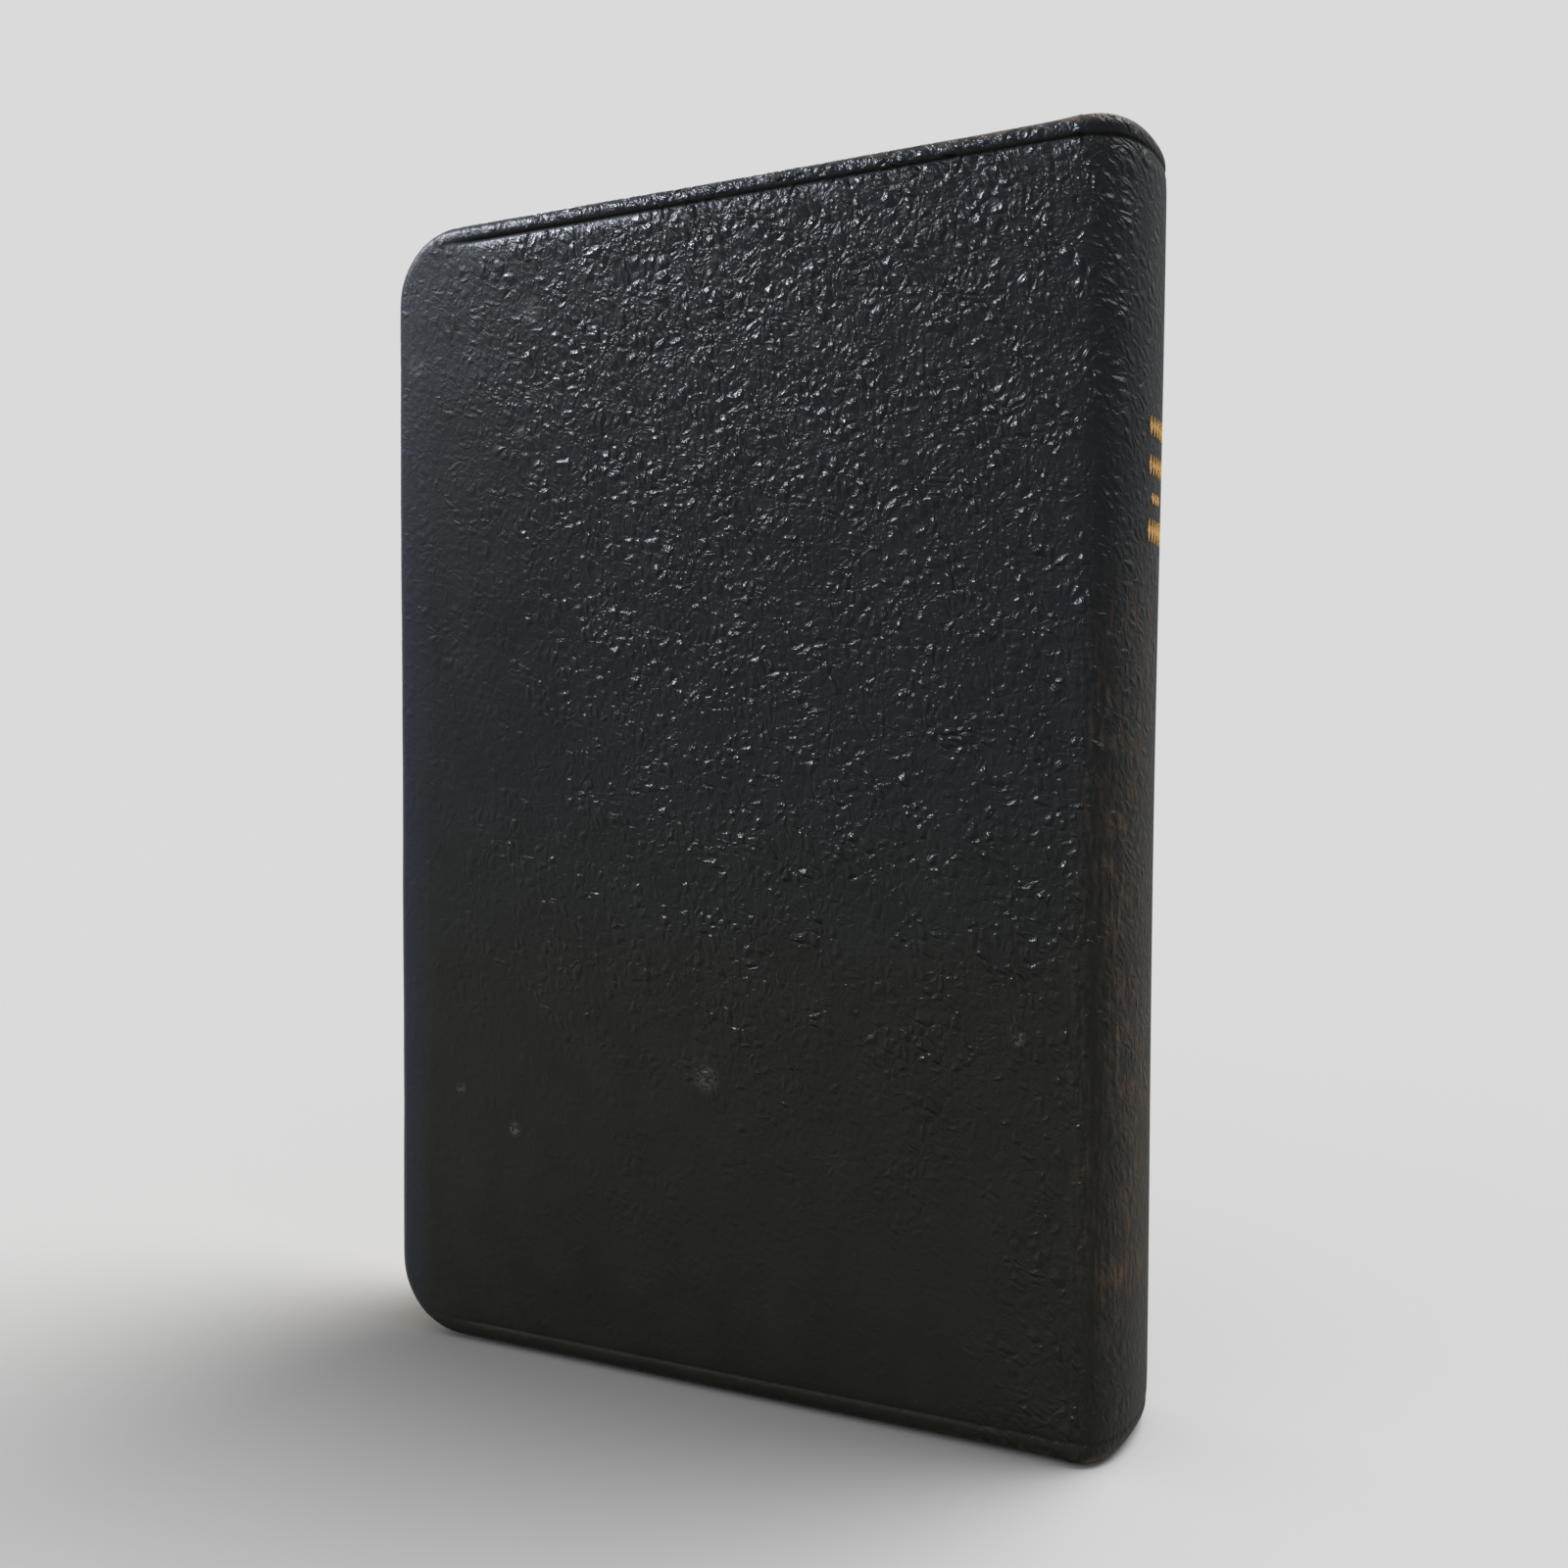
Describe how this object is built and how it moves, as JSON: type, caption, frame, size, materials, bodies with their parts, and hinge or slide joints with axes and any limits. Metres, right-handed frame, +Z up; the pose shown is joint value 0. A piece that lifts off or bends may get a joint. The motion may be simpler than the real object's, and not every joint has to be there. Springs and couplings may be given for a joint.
{
  "type": "prayer book",
  "caption": "Pocket prayer book in limp black pebbled leather with rounded spine and corners; covers swing open and the pages fan with them.",
  "frame": {"origin": "middle of the closed book's footprint, on the surface that its tail edges stand on", "axes": "+Z up from tail to head, +X towards the spine, -X towards the fore-edge, -Y out of the back cover, +Y out of the front cover"},
  "size_m": [0.095, 0.02, 0.14],
  "materials": {
    "leather": "black pebbled goatskin, satin, brown where rubbed",
    "gilt": "worn gold foil",
    "card": "plain card",
    "board": "thin millboard",
    "lining_paper": "brown lining paper",
    "mull_cloth": "open-weave cotton",
    "linen_tape": "woven linen tape",
    "linen_thread": "waxed linen thread",
    "silk": "wound silk, red and cream",
    "endpaper": "plain cream endpaper",
    "page_paper": "thin book paper with gilt edges"
  },
  "bodies": {
    "book_back": {"spine_leather": "leather", "spine_ornament": "gilt", "spine_inlay": "card", "spine_lining": "lining_paper", "mull": "mull_cloth", "tape_lower": "linen_tape", "tape_middle": "linen_tape", "tape_upper": "linen_tape", "sewing_thread": "linen_thread", "head_band": "silk", "tail_band": "silk", "sewn_folds": "page_paper", "gathering_06": "page_paper", "gathering_07": "page_paper"},
    "back_cover": {"back_cover_leather": "leather", "back_board": "board", "back_pastedown": "endpaper"},
    "front_cover": {"front_cover_leather": "leather", "front_board": "board", "front_pastedown": "endpaper"},
    "back_flyleaf": {"back_flyleaf": "endpaper"},
    "front_flyleaf": {"front_flyleaf": "endpaper"},
    "gathering_01": {"gathering_01": "page_paper"},
    "gathering_12": {"gathering_12": "page_paper"},
    "gathering_02": {"gathering_02": "page_paper"},
    "gathering_11": {"gathering_11": "page_paper"},
    "gathering_03": {"gathering_03": "page_paper"},
    "gathering_10": {"gathering_10": "page_paper"},
    "gathering_04": {"gathering_04": "page_paper"},
    "gathering_09": {"gathering_09": "page_paper"},
    "gathering_05": {"gathering_05": "page_paper"},
    "gathering_08": {"gathering_08": "page_paper"}
  },
  "joints": [
    {"name": "back_cover_hinge", "type": "hinge", "parent": "book_back", "child": "back_cover", "pos_m": [0.0415, -0.01, 0.07], "axis": [0, 0, 1], "range_deg": [0, 180]},
    {"name": "front_cover_hinge", "type": "hinge", "parent": "book_back", "child": "front_cover", "pos_m": [0.0415, 0.01, 0.07], "axis": [0, 0, -1], "range_deg": [0, 180]},
    {"name": "back_flyleaf_hinge", "type": "hinge", "parent": "book_back", "child": "back_flyleaf", "pos_m": [0.0415, -0.01, 0.07], "axis": [0, 0, 1], "range_deg": [0, 130]},
    {"name": "front_flyleaf_hinge", "type": "hinge", "parent": "book_back", "child": "front_flyleaf", "pos_m": [0.0415, 0.01, 0.07], "axis": [0, 0, -1], "range_deg": [0, 130]},
    {"name": "gathering_01_turn", "type": "hinge", "parent": "book_back", "child": "gathering_01", "pos_m": [0.03996, -0.00642, 0.07], "axis": [0, 0, 1], "range_deg": [0, 83]},
    {"name": "gathering_12_turn", "type": "hinge", "parent": "book_back", "child": "gathering_12", "pos_m": [0.03996, 0.00642, 0.07], "axis": [0, 0, -1], "range_deg": [0, 83]},
    {"name": "gathering_02_turn", "type": "hinge", "parent": "book_back", "child": "gathering_02", "pos_m": [0.03996, -0.00525, 0.07], "axis": [0, 0, 1], "range_deg": [0, 67]},
    {"name": "gathering_11_turn", "type": "hinge", "parent": "book_back", "child": "gathering_11", "pos_m": [0.03996, 0.00525, 0.07], "axis": [0, 0, -1], "range_deg": [0, 67]},
    {"name": "gathering_03_turn", "type": "hinge", "parent": "book_back", "child": "gathering_03", "pos_m": [0.03996, -0.00408, 0.07], "axis": [0, 0, 1], "range_deg": [0, 51]},
    {"name": "gathering_10_turn", "type": "hinge", "parent": "book_back", "child": "gathering_10", "pos_m": [0.03996, 0.00408, 0.07], "axis": [0, 0, -1], "range_deg": [0, 51]},
    {"name": "gathering_04_turn", "type": "hinge", "parent": "book_back", "child": "gathering_04", "pos_m": [0.03996, -0.00292, 0.07], "axis": [0, 0, 1], "range_deg": [0, 35]},
    {"name": "gathering_09_turn", "type": "hinge", "parent": "book_back", "child": "gathering_09", "pos_m": [0.03996, 0.00292, 0.07], "axis": [0, 0, -1], "range_deg": [0, 35]},
    {"name": "gathering_05_turn", "type": "hinge", "parent": "book_back", "child": "gathering_05", "pos_m": [0.03996, -0.00175, 0.07], "axis": [0, 0, 1], "range_deg": [0, 18]},
    {"name": "gathering_08_turn", "type": "hinge", "parent": "book_back", "child": "gathering_08", "pos_m": [0.03996, 0.00175, 0.07], "axis": [0, 0, -1], "range_deg": [0, 18]}
  ],
  "couplings": [
    {"joint": "back_flyleaf_hinge", "follows": "back_cover_hinge", "ratio": 0.72},
    {"joint": "front_flyleaf_hinge", "follows": "front_cover_hinge", "ratio": 0.72},
    {"joint": "gathering_01_turn", "follows": "back_cover_hinge", "ratio": 0.46},
    {"joint": "gathering_12_turn", "follows": "front_cover_hinge", "ratio": 0.46},
    {"joint": "gathering_02_turn", "follows": "back_cover_hinge", "ratio": 0.37},
    {"joint": "gathering_11_turn", "follows": "front_cover_hinge", "ratio": 0.37},
    {"joint": "gathering_03_turn", "follows": "back_cover_hinge", "ratio": 0.28},
    {"joint": "gathering_10_turn", "follows": "front_cover_hinge", "ratio": 0.28},
    {"joint": "gathering_04_turn", "follows": "back_cover_hinge", "ratio": 0.19},
    {"joint": "gathering_09_turn", "follows": "front_cover_hinge", "ratio": 0.19},
    {"joint": "gathering_05_turn", "follows": "back_cover_hinge", "ratio": 0.1},
    {"joint": "gathering_08_turn", "follows": "front_cover_hinge", "ratio": 0.1}
  ]
}
